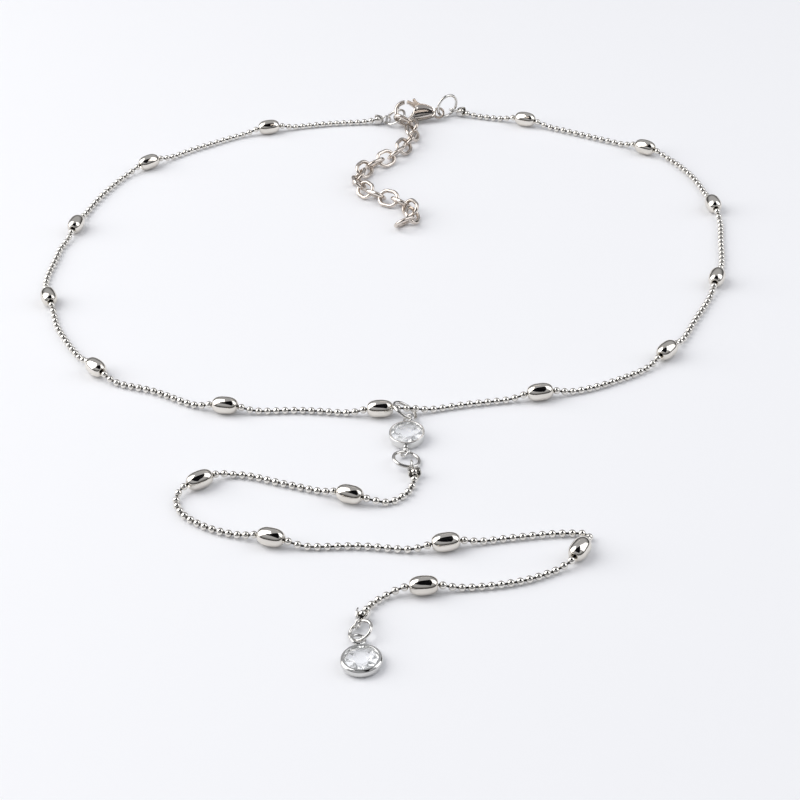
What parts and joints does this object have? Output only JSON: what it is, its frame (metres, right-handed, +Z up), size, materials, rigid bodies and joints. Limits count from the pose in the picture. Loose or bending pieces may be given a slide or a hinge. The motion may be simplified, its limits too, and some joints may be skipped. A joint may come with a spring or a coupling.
{
  "type": "lariat necklace",
  "caption": "Lariat necklace of fine ball chain with smooth barrel beads, a round stone link, a beaded drop with a stone charm, and a lobster clasp with extender.",
  "frame": {"origin": "middle of the necklace's footprint, on the surface that it lies on", "axes": "+Y from the drop's charm to the clasp, +X to the right seen from above, +Z up"},
  "size_m": [0.1338, 0.1805, 0.0056],
  "materials": {
    "chain": "polished silver-coloured metal",
    "beads": "mirror-polished silver-coloured metal",
    "fittings": "polished silver-coloured metal",
    "settings": "polished silver-coloured metal",
    "extender": "polished silver-coloured metal",
    "clasp": "polished cast metal",
    "stone": "clear faceted stone"
  },
  "bodies": {
    "necklace": {"main_chain": "chain", "drop_chain": "chain", "main_bead_01": "beads", "main_bead_02": "beads", "main_bead_03": "beads", "main_bead_04": "beads", "main_bead_05": "beads", "main_bead_06": "beads", "main_bead_07": "beads", "main_bead_08": "beads", "main_bead_09": "beads", "main_bead_10": "beads", "main_bead_11": "beads", "main_bead_12": "beads", "main_bead_13": "beads", "drop_bead_1": "beads", "drop_bead_2": "beads", "drop_bead_3": "beads", "drop_bead_4": "beads", "drop_bead_5": "beads", "drop_bead_6": "beads", "top_ring": "fittings", "link_setting": "settings", "link_stone": "stone", "bottom_ring": "fittings", "start_cap": "fittings", "end_cap": "fittings", "charm_ring": "fittings", "charm_setting": "settings", "charm_stone": "stone", "left_cap": "fittings", "right_cap": "fittings", "left_ring": "fittings", "right_ring": "fittings", "clasp_body": "clasp", "extender_link_01": "extender", "extender_link_02": "extender", "extender_link_03": "extender", "extender_link_04": "extender", "extender_link_05": "extender", "extender_link_06": "extender", "extender_link_07": "extender", "extender_link_08": "extender", "extender_link_09": "extender", "extender_link_10": "extender", "extender_link_11": "extender", "extender_link_12": "extender", "extender_link_13": "extender", "extender_link_14": "extender", "extender_link_15": "extender", "extender_link_16": "extender", "extender_link_17": "extender", "extender_link_18": "extender"},
    "clasp_lever": {"clasp_lever": "clasp"}
  },
  "joints": [
    {"name": "lever_hinge", "type": "hinge", "parent": "necklace", "child": "clasp_lever", "pos_m": [0.00865, 0.0867, 0.0027], "axis": [0.0572, -0.7138, 0.698], "range_deg": [0, 25], "stiffness_Nm_per_rad": 0.002}
  ]
}
